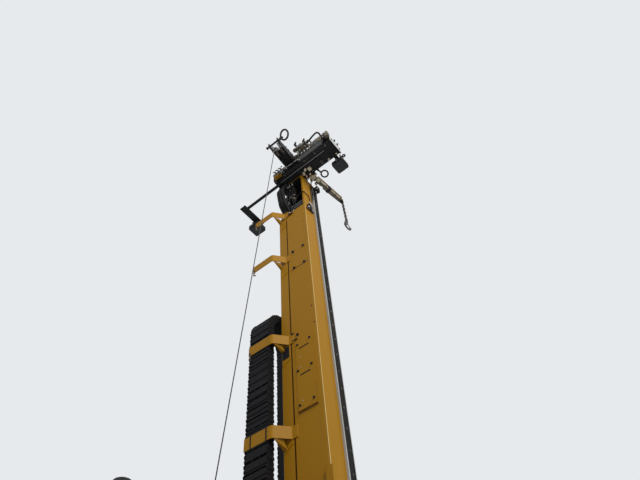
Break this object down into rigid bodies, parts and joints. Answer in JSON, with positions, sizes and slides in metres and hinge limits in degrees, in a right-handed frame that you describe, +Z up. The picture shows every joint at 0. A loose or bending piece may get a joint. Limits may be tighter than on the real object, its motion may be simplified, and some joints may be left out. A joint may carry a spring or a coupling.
{
  "type": "crawler drilling rig",
  "caption": "Tracked drilling rig with a boom-mounted box mast, sliding rotary head, rod clamps, winch, crown sheaves and jib, engine hood and support jacks.",
  "frame": {"origin": "centre of the borehole at ground level, on the drilling axis", "axes": "+X forward from the machine to the borehole, +Y to the machine's left, +Z up"},
  "size_m": [5.9363, 2.74, 8.3763],
  "materials": {
    "painted_yellow": "satin yellow paint, chalked and scratched",
    "painted_black": "satin black paint",
    "dark_steel": "oiled dark steel",
    "bare_steel": "worn bare steel",
    "chromed_rod": "polished",
    "black_plastic": "moulded",
    "rubber_hose": "matt",
    "grey_paint": "satin grey paint"
  },
  "bodies": {
    "chassis": {"car_body": "painted_black", "deck": "painted_black", "track_frame_left": "painted_black", "track_frame_right": "painted_black", "track_left": "dark_steel", "track_right": "dark_steel", "boom_pedestal": "painted_yellow", "hood_shell": "painted_yellow", "engine_block": "dark_steel", "radiator_grille": "black_plastic", "exhaust": "dark_steel", "hydraulic_tank": "painted_black", "fuel_tank": "painted_black", "valve_bank": "grey_paint", "console_post": "painted_black"},
    "boom": {"boom_arm": "painted_yellow"},
    "lift_barrel": {"lift_cylinder_barrel": "grey_paint"},
    "lift_rod": {"lift_cylinder_rod": "chromed_rod"},
    "tilt_barrels": {"tilt_cylinder_barrels": "grey_paint"},
    "tilt_rods": {"tilt_cylinder_rods": "chromed_rod"},
    "cradle": {"mast_cradle": "painted_yellow"},
    "mast": {"mast_beam": "painted_yellow", "guide_rails": "dark_steel", "slide_rails": "painted_yellow", "mast_foot": "painted_black", "rod_clamps": "painted_black", "feed_chain": "dark_steel", "chain_brackets": "painted_yellow", "energy_chain": "black_plastic", "mast_head": "painted_yellow", "crown_beam": "painted_black", "crown_valves": "grey_paint", "sheave_arm": "painted_black", "sheave_cheeks": "painted_black", "sheaves": "dark_steel", "hoist_rope": "dark_steel", "winch_frame": "painted_black", "mast_lamps": "painted_black", "hose_bundle": "rubber_hose", "jib_bracket": "painted_black"},
    "drum": {"winch_drum": "bare_steel"},
    "jib": {"jib_arm": "painted_yellow", "jib_hook": "bare_steel"},
    "carriage": {"feed_carriage": "painted_yellow", "rotary_head": "grey_paint"},
    "spindle": {"spindle": "bare_steel"},
    "door_left": {"hood_door_left": "painted_yellow"},
    "door_right": {"hood_door_right": "painted_yellow"},
    "console": {"control_console": "painted_black"},
    "leg_front_left": {"jack_leg_front_left": "dark_steel"},
    "leg_front_right": {"jack_leg_front_right": "dark_steel"},
    "leg_rear_left": {"jack_leg_rear_left": "dark_steel"},
    "leg_rear_right": {"jack_leg_rear_right": "dark_steel"}
  },
  "joints": [
    {"name": "boom_lift", "type": "hinge", "parent": "chassis", "child": "boom", "pos_m": [-2.3, 0, 1.1], "axis": [0, -1, 0], "range_deg": [0, 25]},
    {"name": "lift_barrel_swing", "type": "hinge", "parent": "chassis", "child": "lift_barrel", "pos_m": [-1.8, 0, 0.62], "axis": [0, -1, 0], "range_deg": [0, 14.2]},
    {"name": "lift_rod_slide", "type": "slide", "parent": "lift_barrel", "child": "lift_rod", "axis": [0.2431, 0, 0.97], "range_m": [0, 0.24125]},
    {"name": "mast_tilt", "type": "hinge", "parent": "boom", "child": "cradle", "pos_m": [-1.11, 0, 2.1], "axis": [0, 1, 0], "range_deg": [-90, 10]},
    {"name": "tilt_barrel_swing", "type": "hinge", "parent": "boom", "child": "tilt_barrels", "pos_m": [-2.10525, 0, 1.26365], "axis": [0, 1, 0], "range_deg": [-6.93, 0.78]},
    {"name": "tilt_rod_slide", "type": "slide", "parent": "tilt_barrels", "child": "tilt_rods", "axis": [0.9045, 0, 0.4265], "range_m": [-0.05375, 0.48295]},
    {"name": "mast_slide", "type": "slide", "parent": "cradle", "child": "mast", "axis": [0, 0, 1], "range_m": [-0.15, 0.65]},
    {"name": "head_feed", "type": "slide", "parent": "mast", "child": "carriage", "axis": [0, 0, 1], "range_m": [0, 4.6]},
    {"name": "spindle_turn", "type": "hinge", "parent": "carriage", "child": "spindle", "pos_m": [0, 0, 0.9], "axis": [0, 0, 1], "continuous": true},
    {"name": "drum_turn", "type": "hinge", "parent": "mast", "child": "drum", "pos_m": [-1.28, 0.545, 1.7], "axis": [0, 1, 0], "continuous": true},
    {"name": "jib_swing", "type": "hinge", "parent": "mast", "child": "jib", "pos_m": [-0.525, -0.4, 8.135], "axis": [0, 0, 1], "range_deg": [-60, 60]},
    {"name": "hood_door_left_swing", "type": "hinge", "parent": "chassis", "child": "door_left", "pos_m": [-4.139, 0.912, 1.26], "axis": [0, 0, -1], "range_deg": [0, 110]},
    {"name": "hood_door_right_swing", "type": "hinge", "parent": "chassis", "child": "door_right", "pos_m": [-4.139, -0.912, 1.26], "axis": [0, 0, 1], "range_deg": [0, 110]},
    {"name": "console_swing", "type": "hinge", "parent": "chassis", "child": "console", "pos_m": [-2.05, 0.91, 1.3], "axis": [0, 0, -1], "range_deg": [0, 90]},
    {"name": "jack_front_left", "type": "slide", "parent": "chassis", "child": "leg_front_left", "axis": [0, 0, -1], "range_m": [0, 0.4]},
    {"name": "jack_front_right", "type": "slide", "parent": "chassis", "child": "leg_front_right", "axis": [0, 0, -1], "range_m": [0, 0.4]},
    {"name": "jack_rear_left", "type": "slide", "parent": "chassis", "child": "leg_rear_left", "axis": [0, 0, -1], "range_m": [0, 0.35]},
    {"name": "jack_rear_right", "type": "slide", "parent": "chassis", "child": "leg_rear_right", "axis": [0, 0, -1], "range_m": [0, 0.35]}
  ],
  "couplings": [
    {"joint": "lift_barrel_swing", "follows": "boom_lift", "ratio": 0.5675},
    {"joint": "lift_rod_slide", "follows": "boom_lift", "m_per_rad": 0.55267},
    {"joint": "tilt_barrel_swing", "follows": "mast_tilt", "ratio": 0.07688},
    {"joint": "tilt_rod_slide", "follows": "mast_tilt", "m_per_rad": -0.30739}
  ]
}
